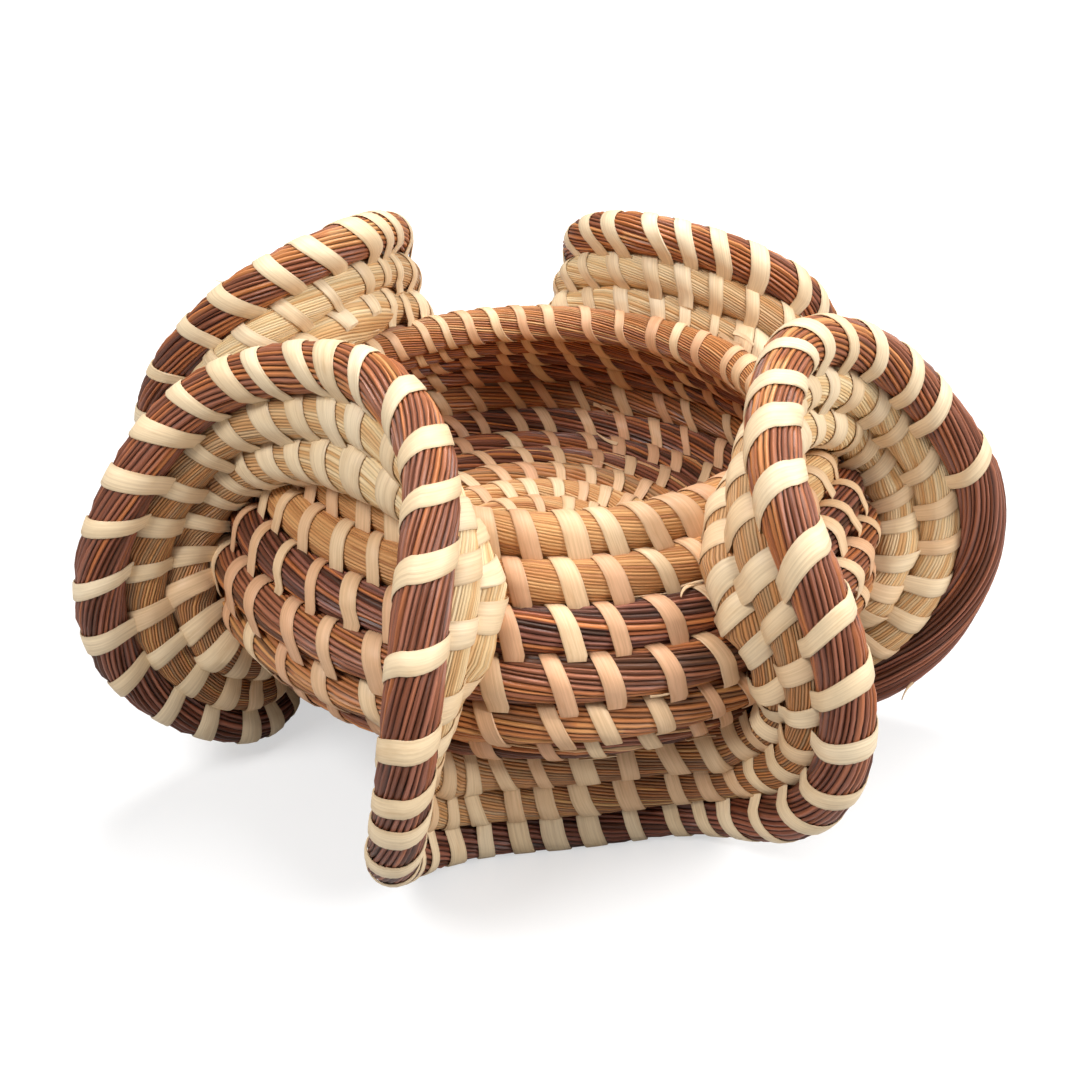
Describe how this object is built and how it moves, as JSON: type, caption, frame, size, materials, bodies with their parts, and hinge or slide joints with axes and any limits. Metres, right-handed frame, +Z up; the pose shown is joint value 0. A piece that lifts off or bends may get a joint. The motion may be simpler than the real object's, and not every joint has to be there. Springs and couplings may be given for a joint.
{
  "type": "coiled grass basket",
  "caption": "Round coiled grass bowl with a wide mouth, carried on a ruffled skirt of coils that rises above the rim and folds under the belly to the floor.",
  "frame": {"origin": "centre of the bounding box seen from above, on the floor that the four low folds stand on", "axes": "+Z up out of the bowl's mouth, -Y toward the front that the picture shows, +X to the right"},
  "size_m": [0.2014, 0.203, 0.1057],
  "materials": {
    "sweetgrass": "dry bundled grass, satin",
    "bulrush_dark": "dry bundled rush, satin",
    "needle_orange": "dry bundled needles, satin"
  },
  "bodies": {
    "root": {"start_knot": "sweetgrass", "floor_coil": "sweetgrass", "floor_border_coil": "needle_orange", "base_coil": "bulrush_dark", "belly_coil": "needle_orange", "wall_coil": "bulrush_dark", "shoulder_coil": "sweetgrass", "ruffle_coil": "sweetgrass", "ruffle_edge_coil": "bulrush_dark"}
  },
  "joints": []
}
